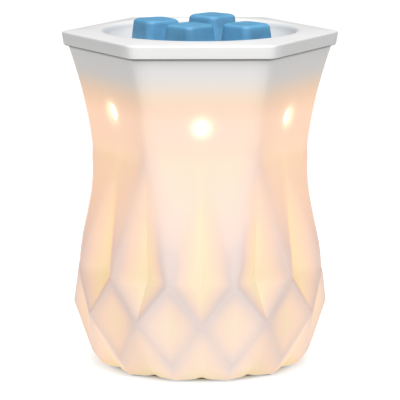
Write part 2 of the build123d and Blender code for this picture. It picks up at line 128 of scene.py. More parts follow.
roughSpread = 0.06      # how far the roughness strays either way
reliefDepth = 0.0003    # metres


def makeMaterial(name, color, roughness=0.5, metallic=0.0, tint=0.05, grain=300.0, bump=0.05, **sockets):
    # noise-tinted colour and roughness with a fine bump, all in object coordinates
    material = bpy.data.materials.new(name)
    material.use_nodes = True
    tree = material.node_tree
    shader = tree.nodes["Principled BSDF"]
    shader.inputs["Metallic"].default_value = metallic
    for socket, value in sockets.items():
        shader.inputs[socket.replace("_", " ")].default_value = value
    place = tree.nodes.new("ShaderNodeTexCoord")
    noise = tree.nodes.new("ShaderNodeTexNoise")
    noise.inputs["Scale"].default_value = grain
    noise.inputs["Detail"].default_value = 3.0
    link(tree, place, "Object", noise, "Vector")
    ramp = tree.nodes.new("ShaderNodeValToRGB")
    dark = [max(c * (1 - tint), 0) for c in color[:3]]
    light = [min(c * (1 + tint), 1) for c in color[:3]]
    ramp.color_ramp.elements[0].position = 0.3
    ramp.color_ramp.elements[0].color = (*dark, 1)
    ramp.color_ramp.elements[1].position = 0.7
    ramp.color_ramp.elements[1].color = (*light, 1)
    link(tree, noise, "Fac", ramp, "Fac")
    link(tree, ramp, "Color", shader, "Base Color")
    spread = tree.nodes.new("ShaderNodeMapRange")
    spread.inputs["To Min"].default_value = max(roughness - roughSpread, 0.02)
    spread.inputs["To Max"].default_value = min(roughness + roughSpread, 1.0)
    link(tree, noise, "Fac", spread, "Value")
    link(tree, spread, "Result", shader, "Roughness")
    relief = tree.nodes.new("ShaderNodeBump")
    relief.inputs["Strength"].default_value = bump
    relief.inputs["Distance"].default_value = reliefDepth
    link(tree, noise, "Fac", relief, "Height")
    link(tree, relief, "Normal", shader, "Normal")
    return material


# body: every row goes once round the pot, from the foot up outside, over the lip and down inside
body = {
    "columns": 384,
    "rowStep": 0.9,
    "top": 169.2,
    "foot": 0.8,
    "footFlare": 0.4,        # slope of the body below its lowest profile
    "sideProfile": ((53.7, 64.5), (62.0, 62.9), (80.0, 58.0), (93.0, 54.5), (107.0, 51.3), (116.0, 50.0), (122.0, 50.5),
                    (130.0, 51.5), (137.0, 52.7), (148.5, 55.0), (157.0, 57.1), (169.2, 60.4)),
    "cornerProfile": ((53.7, 64.5), (62.0, 63.9), (80.0, 60.2), (93.0, 57.8), (107.0, 57.3), (118.0, 58.8),
                      (133.0, 63.0), (169.2, 74.3)),
    "edgeSoftness": 1.15,    # rounds the upright edges
    "sideGrooveTop": 118.5,
    "cornerGrooveTop": 113.0,
    "ringA": (66.8, 53.7),
    "ringB": (67.4, 32.4),
    "ringC": (59.8, 9.3),
    "valleyA": 55.0,
    "leastSlope": 0.22,      # of a groove's walls, just under its start
    "diamondB": 61.8,
    "valleyC": 55.2,
    "footLobe": 53.0,
    "ridgeSoftness": 0.55,
    "valleySoftness": 0.3,
    "lipRound": 0.9,
    "footRound": 1.2,
    "notchLift": 0.9,
    "notchHalf": 3.2,        # degrees
    "notchFade": 6.0,        # mm over which the foot's notches die away
    "hollow": ((18.0, 47.2), (32.4, 55.8), (53.7, 51.0), (116.0, 46.0), (133.0, 48.3), (150.0, 51.7), (169.2, 56.4)),
    "hollowRound": 12.0,     # of the hollow's upright corners, above the waist
    "hollowShare": 0.9,      # the same as a share of the apothem, lower down
    "waist": 116.0,
    "recess": 43.0,
    "floorUnder": 13.0,
    "floorTop": 18.0,
    "nippleHole": 5.1,
    "padRadius": 4.0,
    "padCircle": 46.6,
    "padSeat": 1.6,          # height of the seats' upper ends
    "inletHeight": 6.9,
    "inletHole": 4.1,
    "inletSeat": 6.5,        # radius of the flats for the inlet's flanges
    "inletFaces": (44.5, 49.5),
    "holeHeights": (133.1, 134.9, 134.1, 133.6, 135.6, 137.5),
    "holeRadius": 4.2,
    "holeRound": 1.3,
    "holeReach": (14.0, 4.0),   # how far the cutter goes in from the face and out of it
    "faceSlope": 0.18,       # how far a side leans out per mm of height at the light holes
}


noCut = 300.0       # mm, a radius past everything, where a face doesn't cut
fadeIn = 2.0        # mm


def profile(pairs, z):
    # cubic through the pairs: h00 v0 + h10 w m0 + h01 v1 + h11 w m1, tangents from the neighbours
    heights, values = np.array(pairs).T
    tangents = np.gradient(values, heights)
    k = np.clip(np.searchsorted(heights, z) - 1, 0, len(heights) - 2)
    width = heights[k + 1] - heights[k]
    t = np.clip((z - heights[k]) / width, 0, 1)
    rise = t * t * (3 - 2 * t)
    return (values[k] * (1 - rise) + values[k + 1] * rise
            + width * (tangents[k] * t * (1 - t) ** 2 - tangents[k + 1] * t * t * (1 - t)))


def planeRadius(angle, z, *corners):
    # plane n.p = n.p0 through three (radius, degrees, height); along the ray r = (d - nz z) / (nx sin a + ny cos a)
    p = np.array([(r * math.sin(a * deg), r * math.cos(a * deg), h) for r, a, h in corners])
    n = np.cross(p[1] - p[0], p[2] - p[0])
    n = n if n[1] > 0 else -n
    d = n @ p[0]
    return (d - n[2] * z) / np.maximum(n[0] * np.sin(angle) + n[1] * np.cos(angle), 1e-3)


def grooveRadius(angle, z, crest, startCrest, start, widest):
    # V groove: half width grows from 0 at start; on the ray r = V / (cos a - s sin a), s = (crest - V) / half width
    share = np.clip((start - z) / (start - body["ringA"][1]), 1e-3, None)
    half = widest * share
    valley = np.minimum(startCrest + (body["valleyA"] - startCrest) * share, crest - body["leastSlope"] * half)
    slope = (crest - valley) / half
    opened = valley / np.maximum(np.cos(angle) - slope * np.sin(angle), 0.05)
    # the groove fades in over the first few mm under its start
    return np.minimum(opened, noCut) + fadeIn * np.exp(-np.clip(start - z, 0, None) / fadeIn)


def outerRadius(phi, z):
    # r = softMin(tapered body, kite facets, diamonds, triangles, foot facets), each repeating round the pot
    side = fold(phi, 60 * deg)
    corner = 30 * deg - side
    facet = fold(phi, 30 * deg)
    rib = 15 * deg - facet
    sideA, cornerA = profile(body["sideProfile"], z), profile(body["cornerProfile"], z)
    below = np.maximum(body["ringA"][1] - z, 0) * body["footFlare"]
    sideA, cornerA = sideA + below, cornerA + below
    # twelve planes in turn, each at apothem / cos of its angle, joined softly
    base = softMin([sideA / np.cos(side), cornerA / np.cos(corner), cornerA / np.cos(side + 30 * deg),
                    sideA / np.cos(corner + 30 * deg)], body["edgeSoftness"])
    (ra, za), (rb, zb), (rc, zc) = body["ringA"], body["ringB"], body["ringC"]
    widest = ra * math.sin(15 * deg)
    soft = body["valleySoftness"]
    kites = []
    for angle, crest, start, pairs in ((side, sideA, body["sideGrooveTop"], body["sideProfile"]),
                                       (corner, cornerA, body["cornerGrooveTop"], body["cornerProfile"])):
        upper = grooveRadius(angle, z, crest, profile(pairs, np.array(start)), start, widest)
        lower = planeRadius(angle, z, (ra, 15, za), (body["valleyA"], 0, za), (rb, 0, zb))
        kites.append(np.where(z < start, softMax([upper, lower], soft), noCut))
    diamond = softMax([planeRadius(rib, z, (ra, 0, za), (rb, 15, zb), (body["diamondB"], 0, zb)),
                       planeRadius(rib, z, (rc, 0, zc), (rb, 15, zb), (body["diamondB"], 0, zb))], soft)
    diamond = np.where(z < za + 12, diamond, noCut)
    triangle = planeRadius(facet, z, (rb, 0, zb), (body["valleyC"], 0, zc), (rc, 15, zc))
    foot = planeRadius(facet, z, (body["valleyC"], 0, zc), (rc, 15, zc), (body["footLobe"], 15, body["foot"]))
    return softMin([base, *kites, diamond, triangle, foot], body["ridgeSoftness"])


def buildBody():
    # turned grid of r(phi, z): outerRadius outside, rounded hexagons inside, circles underneath; then the holes are cut
    b = body
    phi = np.arange(b["columns"]) / b["columns"] * 2 * math.pi
    quarter = np.linspace(0, math.pi / 2, 6)
    rows = []            # (radius over the columns, height over the columns)
    lift = b["notchLift"] * np.exp(-(fold(phi, 30 * deg) / (b["notchHalf"] * deg)) ** 2)
    footTop = b["foot"] + b["footRound"]
    for t in quarter[:-1]:
        z = footTop - b["footRound"] * math.cos(t)
        rows.append((outerRadius(phi, np.full_like(phi, z)) - b["footRound"] * (1 - math.sin(t)), z + lift))
    lipBase = b["top"] - b["lipRound"]
    steps = int((lipBase - footTop) / b["rowStep"])
    for z in np.linspace(footTop, lipBase, steps):
        rows.append((outerRadius(phi, np.full_like(phi, z)), z + lift * max(0, 1 - (z - footTop) / b["notchFade"])))
    crown = outerRadius(phi, np.full_like(phi, lipBase))
    innerLip = polygonRadius(phi, 6, b["hollow"][-1][1], b["hollowRound"])
    for t in quarter[1:]:
        rows.append((crown - b["lipRound"] * (1 - math.cos(t)), lipBase + b["lipRound"] * math.sin(t) + 0 * phi))
    for t in quarter[1:-1]:
        rows.append((innerLip + b["lipRound"] * (1 - math.sin(t)), lipBase + b["lipRound"] * math.cos(t) + 0 * phi))
    for z in np.linspace(lipBase, b["floorTop"] + 1.5, 26):
        apothem = float(profile(b["hollow"], np.array(z)))
        down = min(max((b["waist"] - z) / (b["waist"] - b["ringA"][1]), 0), 1)
        rounding = b["hollowRound"] + (b["hollowShare"] * apothem - b["hollowRound"]) * down
        rows.append((polygonRadius(phi, 6, apothem, rounding), np.full_like(phi, z)))
    apothem = b["hollow"][0][1]
    edge = polygonRadius(phi, 6, apothem, b["hollowShare"] * apothem)
    # floor, nipple's hole, the floor's underside, and down the recess to the foot
    floorTop, under, bore, recess = b["floorTop"], b["floorUnder"], b["nippleHole"], b["recess"]
    for r, z in ((edge - 1.5, floorTop), (edge * 0.6, floorTop), (bore, floorTop), (bore, 15.5), (bore, under),
                 (24.0, under), (recess - 0.8, under), (recess, under - 0.8), (recess, 6.5), (recess, 1.2)):
        rows.append((r + phi * 0, z + 0 * phi))
    footInside = recess + 0.4
    rows.append((footInside + phi * 0, b["foot"] + 0 * phi))
    rows.append(((footInside + rows[0][0]) / 2, b["foot"] + lift * 0.5))
    r = np.array([row[0] for row in rows])
    z = np.array([row[1] for row in rows])
    x, y = r * np.sin(phi), -r * np.cos(phi)
    mesh = gridMesh("body_porcelain", x, y, z, closeRows=True)
    piece = bpy.data.objects.new("body_cut", mesh)
    bpy.context.scene.collection.objects.link(piece)
    cutters = [lightHoleCutter(k) for k in range(6)] + inletCutters() + padCutters()
    joined = bpy.data.meshes.new("cutters")
    points, faces, start = [], [], 0
    for m in cutters:
        co = np.zeros(len(m.vertices) * 3)
        m.vertices.foreach_get("co", co)
        points += co.reshape(-1, 3).tolist()
        faces += [[v + start for v in p.vertices] for p in m.polygons]
        start += len(m.vertices)
    joined.from_pydata(points, [], faces)
    tool = bpy.data.objects.new("cutters", joined)
    bpy.context.scene.collection.objects.link(tool)
    cut = piece.modifiers.new("cut", "BOOLEAN")
    cut.operation = "DIFFERENCE"
    cut.solver = "EXACT"
    cut.object = tool
    done = bpy.data.meshes.new_from_object(piece.evaluated_get(bpy.context.evaluated_depsgraph_get()))
    done.name = "body_porcelain"
    bpy.data.objects.remove(piece)
    bpy.data.objects.remove(tool)
    return addPiece("body_porcelain", done, "base", ["body_shell"], 40.0)


def lightHoleCutter(k):
    # turned shape: a straight bore that opens in a quarter circle at the face, sheared to follow the face's lean
    b = body
    height = b["holeHeights"][k]
    face = float(outerRadius(np.array([k * 60 * deg]), np.array([height]))[0])
    turn = np.linspace(0, 2 * math.pi, 56, endpoint=False)
    arc = np.linspace(0, math.pi / 2, 9)
    bore, rounding = b["holeRadius"], b["holeRound"]
    inward, outward = b["holeReach"]
    radius = np.concatenate([[bore] * 2, bore + rounding * (1 - np.cos(arc[1:])), [bore + rounding]])
    mouth = face - rounding
    depth = np.concatenate([[face - inward, mouth], mouth + rounding * np.sin(arc[1:]), [face + outward]])
    across = radius[:, None] * np.cos(turn)
    up = radius[:, None] * np.sin(turn)
    out = depth[:, None] + b["faceSlope"] * up
    a = k * 60 * deg
    x = out * math.sin(a) + across * math.cos(a)
    y = -out * math.cos(a) + across * math.sin(a)
    poles = [np.array((d * math.sin(a), -d * math.cos(a), height)) for d in (depth[0], depth[-1])]
    return gridMesh("hole", x, y, height + up, capStart=poles[0], capEnd=poles[1])


def barrel(name, rings, turn, place):
    # closed turned cutter from (radius, distance along its axis), placed by place(across, up, along)
    r, along = np.array(rings).T
    x, y, z = place(r[:, None] * np.cos(turn), r[:, None] * np.sin(turn), along[:, None] + 0 * turn)
    start, end = (np.array([float(v) for v in place(0.0, 0.0, d)]) for d in (along[0], along[-1]))
    return gridMesh(name, x, y, z, capStart=start, capEnd=end)


def inletCutters():
    # a hole through the back wall for the cord, with a flat seat either side
    turn = np.linspace(0, 2 * math.pi, 40, endpoint=False)
    seat, hole = body["inletSeat"], body["inletHole"]
    inner, outer = body["inletFaces"]
    place = lambda across, up, along: (across, along, body["inletHeight"] + up)
    rings = ((seat, 40.0), (seat, inner), (hole, inner), (hole, outer), (seat, outer), (seat, 66.0))
    return [barrel("inlet", rings, turn, place)]


def padCutters():
    # round seats for the feet, one every 90 degrees
    turn = np.linspace(0, 2 * math.pi, 32, endpoint=False)
    made = []
    for k in range(4):
        cx, cy = body["padCircle"] * math.cos((45 + 90 * k) * deg), body["padCircle"] * math.sin((45 + 90 * k) * deg)
        place = lambda across, up, along: (cx + across, cy + up, along)
        made.append(barrel("pad", ((body["padRadius"], -1.0), (body["padRadius"], body["padSeat"])), turn, place))
    return made


# painted light: colours of the bulb's light that comes through the wall, painted as emission on the porcelain, and the
# glaze tone with painted shade that goes with it
glow = {
    "valley": (0.50, 0.31, 0.08),    # emission where the wall is thin
    "plain": (0.48, 0.235, 0.095),   # on an even wall
    "ridge": (0.31, 0.155, 0.105),    # where it is thick
    # painted light on the hollow's inner wall, for the bulb's light falling on it
    "inside": (1.0, 0.92, 0.78),
    "insideAlbedo": 0.30,
    "halo": (0.29, 0.26, 0.16),      # painted glow added round the light holes
    "haloStart": 0.8,                # mm past a hole's edge
    "haloReach": 1.6,
    "insideStep": (0.9, 1.6),        # mm inside the outer face, where the hollow's painted light starts
    "insideHeights": (17.5, 167.5),
    "underside": (44.5, 14.0, 1.0),  # unlit: closer in than this and lower than this, or under the foot
    "bulbLow": (80.0, 115.0),        # heights over which the hollow brightens
    "bulbHigh": (162.0, 148.0),
    "hollowLeast": 0.2,
    # lit and unlit copies of one glaze: darker under the painted glow, pale above it
    "litAlbedo": (0.51, 0.50, 0.495),
    "unlitAlbedo": (0.755, 0.752, 0.745),
    "sideWarm": (0.10, 0.045, 0.01), # added away from the front
    "warmAngles": (15.0, 60.0),
    "paintedUpwardShade": 0.35,               # painted shade: how much darker a facet is that faces straight up
    "upwardBelow": (60.0, 50.0),
    "fade": (135.0, 159.0),          # heights over which the glow dies away
    "toneFade": (138.0, 157.0),      # and over which the glaze goes from its darker tone under the painted glow to its plain pale tone
    "band": (149.0, 9.0),            # middle and reach of a last warm band of painted light above the glow
    "bandGlow": (0.05, 0.0, 0.0),
    "bandTone": (0.0, -0.035, -0.11),
    "lowWarm": (-0.06, -0.015, 0.0), # added below the long facets
    "lowBelow": (75.0, 45.0),
    "paintedSideShade": 0.17,                 # painted shade: how much darker the glaze is away from the front
    "dimAngles": (22.0, 36.0),
    "paintedLipShade": 0.15,                  # painted shade: how much darker the body's lip is, in the gap under the rim
    "facetsBelow": (128.0, 112.0),   # heights over which thick and thin start to show
    "blur": 7.0,
    "span": 2.2,                     # mm of wall between even and thick
}


def paintBody(piece):
    # painted glow = plain wall, towards valley where thin and ridge where thick, times the fade, plus halos; tone = the
    # glaze, darker under the painted glow, with painted shade
    mesh = piece.data
    co = np.zeros(len(mesh.vertices) * 3)
    mesh.vertices.foreach_get("co", co)
    x, y, z = co.reshape(-1, 3).T / mm
    phi, r = np.arctan2(x, -y), np.hypot(x, y)
    outer = outerRadius(phi, z)
    # wall thickness stands for radius less the same radius blurred over blur mm both ways
    levels, around = np.linspace(-20, 188, 209), np.arange(360) / 360 * 2 * math.pi
    field = outerRadius(around[None, :] + 0 * levels[:, None], np.clip(levels, 2, 166)[:, None] + 0 * around[None, :])
    waves = np.fft.rfftfreq(360, 1 / 360)
    spread = np.fft.irfft(np.fft.rfft(field, axis=1) * np.exp(-0.5 * (waves * glow["blur"] / 60) ** 2), 360, axis=1)
    taps = np.arange(-20, 21)
    weights = np.exp(-0.5 * (taps / glow["blur"]) ** 2)
    spread = sum(w * np.roll(spread, k, 0) for k, w in zip(taps, weights / weights.sum()))
    ridge = field - spread
    u, v = (phi / (2 * math.pi) % 1) * 360, np.clip(z + 20, 0, 207)
    i, j = np.floor(u).astype(int), np.floor(v).astype(int)
    fu, fv = u - i, v - j
    i0, i1 = i % 360, (i + 1) % 360
    lower = ridge[j, i0] * (1 - fu) + ridge[j, i1] * fu
    upper = ridge[j + 1, i0] * (1 - fu) + ridge[j + 1, i1] * fu
    height = lower * (1 - fv) + upper * fv
    thick = np.clip(height / glow["span"] * smoothStep(*glow["facetsBelow"], z), -1, 1)
    valley, plain, ridge = (np.array(glow[k]) for k in ("valley", "plain", "ridge"))
    thin, fat = np.clip(-thick, 0, 1)[:, None], np.clip(thick, 0, 1)[:, None]
    colour = plain + (valley - plain) * thin + (ridge - plain) * fat
    # the glow is warmer away from the front
    turned = np.abs(phi) / deg
    colour = colour + np.array(glow["sideWarm"]) * smoothStep(*glow["warmAngles"], turned)[:, None]
    colour = colour + np.array(glow["lowWarm"]) * smoothStep(*glow["lowBelow"], z)[:, None]
    lit = smoothStep(*glow["fade"][::-1], z)
    band = np.exp(-((z - glow["band"][0]) / glow["band"][1]) ** 2)[:, None]
    tones = smoothStep(*glow["toneFade"][::-1], z)
    height = np.array(body["holeHeights"])
    near = np.full_like(z, 99.0)
    for k in range(6):
        away = np.hypot(x * math.cos(k * 60 * deg) + y * math.sin(k * 60 * deg), z - height[k])
        ahead = x * math.sin(k * 60 * deg) - y * math.cos(k * 60 * deg) > 0
        near = np.where(ahead, np.minimum(near, away), near)
    halo = np.exp(-np.clip(near - body["holeRadius"] - glow["haloStart"], 0, None) / glow["haloReach"])
    fading = np.stack([lit, lit, lit ** 1.6], 1)
    colour = colour * fading + halo[:, None] * np.array(glow["halo"]) + band * np.array(glow["bandGlow"])
    low, high = glow["insideHeights"]
    inner = smoothStep(*glow["insideStep"], outer - r) * (z > low) * (z < high)
    within, below, foot = glow["underside"]
    under = ((r < within) & (z < below)) | (z < foot)
    # the inside is brightest level with the bulb
    least = glow["hollowLeast"]
    level = least + (1 - least) * smoothStep(*glow["bulbHigh"], z) * smoothStep(*glow["bulbLow"], z)
    colour = colour * (1 - inner[:, None]) + (inner * level)[:, None] * np.array(glow["inside"])
    colour = np.where(under[:, None], 0.03 * plain, colour)
    facing = np.zeros(len(z) * 3)
    mesh.vertex_normals.foreach_get("vector", facing)
    upward = np.clip(facing.reshape(-1, 3)[:, 2], 0, 1) * smoothStep(*glow["upwardBelow"], z)
    # glaze tone: darker under the painted glow, with painted shade on up-facing facets, on the sides and on the lip
    # under the rim
    share = (tones * (1 - under))[:, None]
    albedo = np.array(glow["unlitAlbedo"]) * (1 - share) + np.array(glow["litAlbedo"]) * share
    albedo = (albedo + band * np.array(glow["bandTone"])) * (1 - glow["paintedUpwardShade"] * upward)[:, None]
    albedo = albedo * (1 - glow["paintedSideShade"] * smoothStep(*glow["dimAngles"], turned))[:, None]
    albedo = albedo * (1 - glow["paintedLipShade"] * smoothStep(body["top"] - 1.0, body["top"] - 0.5, z))[:, None]
    albedo = albedo * (1 - inner[:, None]) + glow["insideAlbedo"] * inner[:, None]
    for name, values in (("glow", colour), ("tone", albedo)):
        layer = mesh.color_attributes.new(name, "FLOAT_COLOR", "POINT")
        layer.data.foreach_set("color", np.hstack([values, np.ones((len(values), 1))]).astype(np.float32).ravel())


def porcelainMaterial(name, tone=None, glowName=None, color=(0.86, 0.86, 0.857)):
    # satin glaze; tone (the glaze with painted shade) and glow (painted light, as emission) are colour attributes of
    # the piece
    material = makeMaterial(name, color, roughness=0.42, tint=0.012, grain=60.0, bump=0.03, Specular_IOR_Level=0.4)
    material.cycles.emission_sampling = "NONE"
    tree = material.node_tree
    shader = tree.nodes["Principled BSDF"]
    if tone:
        layer = tree.nodes.new("ShaderNodeAttribute")
        layer.attribute_name = tone
        mix = tree.nodes.new("ShaderNodeMix")
        mix.data_type = "RGBA"
        mix.blend_type = "MULTIPLY"
        mix.inputs["Factor"].default_value = 1.0
        ramp = tree.nodes["Color Ramp"]
        ramp.color_ramp.elements[0].color = (0.985, 0.985, 0.985, 1)
        ramp.color_ramp.elements[1].color = (1, 1, 1, 1)
        tree.links.new(layer.outputs["Color"], mix.inputs[6])
        tree.links.new(ramp.outputs["Color"], mix.inputs[7])
        tree.links.new(mix.outputs[2], shader.inputs["Base Color"])
    if glowName:
        layer = tree.nodes.new("ShaderNodeAttribute")
        layer.attribute_name = glowName
        link(tree, layer, "Color", shader, "Emission Color")
        shader.inputs["Emission Strength"].default_value = 1.0
    return material


bodyPiece = buildBody()
paintBody(bodyPiece)
bodyPiece.data.materials.clear()
bodyPiece.data.materials.append(porcelainMaterial("porcelainLit", "tone", "glow"))
print("body painted")


dish = {
    "columns": 240,
    "rimTop": 177.6,
    "rimBase": 169.2,
    "rimApothem": 63.2,
    "rimTaper": 0.7,
    "rimCorner": 4.2,
    "edgeRound": 1.2,
    "lowRound": 1.0,
    "crown": 1.0,           # how much the band's inner side stands above its outer edge
    "bowl": 50.4,
    "bowlFloor": 45.0,
    "floorTop": 161.0,
    "floorUnder": 157.4,
    "wall": 3.6,
    "mouthIn": 0.2,         # how far the bowl's wall starts inside the bowl's radius
    "mouthRound": (2.6, 3.0),   # across and down, where the band turns into the bowl
    "wallFoot": 1.6,        # how far the wall's foot stands outside the floor's radius
    "wallBow": 1.15,
    "bowlRound": (6.0, 5.0),    # across and down, where the bowl's wall turns into its floor
    "floorRings": (30.0, 15.0, 5.0),
    "lowStep": 0.4,         # how far the underside's flat starts in from the rim's lower edge
    "neck": (0.6, 3.0),     # in and down, just under the rim
    "shoulder": (1.6, 162.5),   # outside the bowl's radius, and at this height
    "undersideRound": 5.0,
    "tone": 0.82,
    "paintedFrontShade": 0.09,       # painted shade: how much darker the rim's front side is than its top
    "paintedSideShade": 0.29,        # and the sides next to it
    "paintedGapShade": 0.88,         # and the gap between rim and body
    "dimAngles": (25.0, 40.0),
    "gapHeight": (0.3, 0.8),    # over the rim's lower edge
    "paintedTopLight": 0.065,        # painted light, strongest on faces that look up, for light that comes up through the rim and the bowl
}


def buildDish():
    # rows of r(phi), each at one height: rounded hexagons round the rim, circles in and under the bowl
    d = dish
    phi = np.linspace(0, 2 * math.pi, d["columns"], endpoint=False)
    q = np.linspace(0, math.pi / 2, 7)
    a, c, e, lowRound = d["rimApothem"], d["rimCorner"], d["edgeRound"], d["lowRound"]
    low, high = d["rimBase"], d["rimTop"] - d["crown"]
    lowApothem = a - d["rimTaper"]
    hexes = []           # (apothem, height), up the rim's side
    for t in q:
        hexes.append((lowApothem - lowRound * (1 - math.sin(t)), low + lowRound * (1 - math.cos(t))))
    for t in q:
        hexes.append((a - e * (1 - math.cos(t)), high - e + e * math.sin(t)))
    rows = [(polygonRadius(phi, 6, apothem, c), height) for apothem, height in hexes]
    # across the band from the rim's edge to the mouth, rising a little towards it
    rim, mouth = rows[-1][0], d["bowl"] - d["mouthIn"]
    across, down = d["mouthRound"]
    for s in (0.15, 0.35, 0.6, 0.8):
        rows.append((rim + (d["bowl"] + across - rim) * s, high + d["crown"] * math.sin(s * math.pi / 2)))
    for t in q:
        rows.append((mouth + across * (1 - math.sin(t)) + phi * 0, d["rimTop"] - down * (1 - math.cos(t))))
    # down the bowl's wall, round its foot and over the floor
    turnIn, turnDown = d["bowlRound"]
    wallTop, wallLow = d["rimTop"] - down, d["floorTop"] + turnDown
    foot = d["bowlFloor"] + d["wallFoot"]
    for s in np.linspace(0, 1, 8)[1:]:
        rows.append((mouth + (foot - mouth) * s ** d["wallBow"] + phi * 0, wallTop + (wallLow - wallTop) * s))
    for t in q[1:]:
        rows.append((foot - turnIn * (1 - math.cos(t)) + phi * 0, wallLow - turnDown * math.sin(t)))
    rows += [(ring + phi * 0, d["floorTop"]) for ring in d["floorRings"]]
    # the underside, from the rim's lower edge to the middle
    outside, g = d["bowl"] + d["wall"], d["undersideRound"]
    neckIn, neckDown = d["neck"]
    out, height = d["shoulder"]
    under = [(polygonRadius(phi, 6, lowApothem - lowRound - d["lowStep"], c), low), (outside + phi * 0, low),
             (outside - neckIn + phi * 0, low - neckDown), (d["bowl"] + out + phi * 0, height)]
    for t in q:
        ring = d["bowlFloor"] + d["wall"] - g * (1 - math.cos(t))
        under.append((ring + phi * 0, d["floorUnder"] + g - g * math.sin(t)))
    under += [(ring + phi * 0, d["floorUnder"]) for ring in d["floorRings"]]
    rows = under[::-1] + rows
    r = np.array([row[0] for row in rows])
    z = np.array([row[1] + phi * 0 for row in rows])
    bottom, top = (np.array((0, 0, d[k])) for k in ("floorUnder", "floorTop"))
    mesh = gridMesh("dish_porcelain", r * np.sin(phi), -r * np.cos(phi), z, capStart=bottom, capEnd=top)
    return addPiece("dish_porcelain", mesh, "dish", ["wax_dish"], 50.0)


def paintDish(piece):
    # tone, painted shade: bright on top, a little darker on the sides away from the front, dark in the gap under the
    # rim; glow, painted light on the faces that look up
    d = dish
    mesh = piece.data
    co, facing = np.zeros(len(mesh.vertices) * 3), np.zeros(len(mesh.vertices) * 3)
    mesh.vertices.foreach_get("co", co)
    mesh.vertex_normals.foreach_get("vector", facing)
    x, y, z = co.reshape(-1, 3).T / mm
    upward = np.clip(facing.reshape(-1, 3)[:, 2], 0, 1)
    away = smoothStep(*d["dimAngles"], np.abs(np.arctan2(x, -y)) / deg)
    outside = np.hypot(x, y) > d["bowl"] + 4
    tone = d["tone"] * (1 - outside * (1 - upward) * (d["paintedFrontShade"] + (d["paintedSideShade"] - d["paintedFrontShade"]) * away))
    gap = outside * (1 - smoothStep(*d["gapHeight"], z - d["rimBase"]))
    tone = tone * (1 - d["paintedGapShade"] * gap)
    shine = d["paintedTopLight"] * upward ** 2
    for name, values in (("tone", tone), ("glow", shine)):
        layer = mesh.color_attributes.new(name, "FLOAT_COLOR", "POINT")
        colors = np.stack([values, values, values * 0.995, 0 * values + 1], 1)
        layer.data.foreach_set("color", colors.astype(np.float32).ravel())


dishPiece = buildDish()
paintDish(dishPiece)
dishPiece.data.materials.append(porcelainMaterial("porcelainDish", "tone", "glow"))


wax = {
    "columns": 96,
    "base": 22.8,
    "top": 19.6,
    "height": 22.0,
    "cornerRound": 3.8,
    "cornerShare": 0.6,     # most of a ring's half width that its corners' round may take
    "edgeRound": 2.0,
    "waviness": 0.16,       # how uneven the poured faces are
    "sink": 0.35,           # how far the middle of the top has sunk
    "floor": 161.0,
    "places": {"wax_cube_middle": (-5.6, -24.0, 43.0), "wax_cube_left": (-23.0, 0.5, 28.0),
               "wax_cube_right": (23.7, -21.6, 42.0), "wax_cube_back": (6.8, 20.5, 47.0)},
}


def buildCube(name, cx, cy, turned, seed):
    # rounded squares from base to top: r = polygonRadius(phi, 4) - waviness (1 + 0.6 wave) a / half, a the half width
    w = wax
    phi = np.linspace(0, 2 * math.pi, w["columns"], endpoint=False)
    q = np.linspace(0, math.pi / 2, 7)
    half, topHalf, e = w["base"] / 2, w["top"] / 2, w["edgeRound"]
    rows = []
    for t in q:
        rows.append((half - e * (1 - math.sin(t)), e * (1 - math.cos(t))))
    for s in np.linspace(0, 1, 12)[1:-1]:
        rows.append((half + (topHalf - half) * s, e + (w["height"] - 2 * e) * s))
    for t in q:
        rows.append((topHalf - e * (1 - math.cos(t)), w["height"] - e + e * math.sin(t)))
    edge = rows[-1][0]
    for s in (0.85, 0.65, 0.45, 0.25, 0.1):
        rows.append((edge * s, w["height"] - w["sink"] * (1 - s * s)))
    inside = [(edge * s, 0.0) for s in (0.1, 0.3, 0.5, 0.7, 0.85)]
    rows = inside + rows
    a = np.array([row[0] for row in rows])[:, None]
    z = np.array([row[1] for row in rows])[:, None] + 0 * phi
    round_ = np.minimum(w["cornerRound"], a * w["cornerShare"])
    r = np.vstack([polygonRadius(phi, 4, float(ai), float(ci)) for ai, ci in zip(a[:, 0], round_[:, 0])])
    # slow waves in the faces, each cube its own
    wave = np.sin(3 * phi + seed) * np.cos(z / 5 + 2 * seed) + 0.6 * np.sin(5 * phi - 2 * seed + z / 4)
    r = r - w["waviness"] * (1 + 0.6 * wave) * (a / half)
    x, y = r * np.cos(phi + turned * deg), r * np.sin(phi + turned * deg)
    poles = [np.array((cx, cy, w["floor"])), np.array((cx, cy, w["floor"] + w["height"] - w["sink"]))]
    mesh = gridMesh(name + "_wax", cx + x, cy + y, w["floor"] + z, capStart=poles[0], capEnd=poles[1])
    return addPiece(name + "_wax", mesh, name, [name], 60.0)


waxMaterial = makeMaterial("waxBlue", (0.135, 0.385, 0.62), roughness=0.52, tint=0.10, grain=110.0, bump=0.12,
                           Subsurface_Weight=0.35, Subsurface_Scale=0.004)
waxMaterial.node_tree.nodes["Principled BSDF"].inputs["Subsurface Radius"].default_value = (0.35, 0.8, 1.0)
for seed, (name, (cx, cy, turned)) in enumerate(wax["places"].items()):
    buildCube(name, cx, cy, turned, 1.7 * seed + 0.4).data.materials.append(waxMaterial)


bulb = {
    "capBase": 41.7,
    "threadTop": 55.8,
    "pitch": 2.82,
    "crest": 6.74,
    "threadDepth": 0.5,
    "threadEnd": 1.4,        # mm over which the thread dies away
    # radius and height, from the thread's top over the collar and down inside
    "collar": ((6.6, 56.2), (7.4, 57.2), (8.35, 58.1), (8.5, 58.5), (8.5, 59.3), (7.9, 59.3), (7.9, 58.5),
               (6.0, 56.2), (5.85, 55.8), (5.85, 48.0), (5.85, 41.8)),
    "filamentHeight": 88.7,
    "filamentHalf": 7.5,
    "filamentBow": 3.0,
    "coilRadius": 0.55,
    "coilWire": 0.13,
    "coilTurns": 34,
}


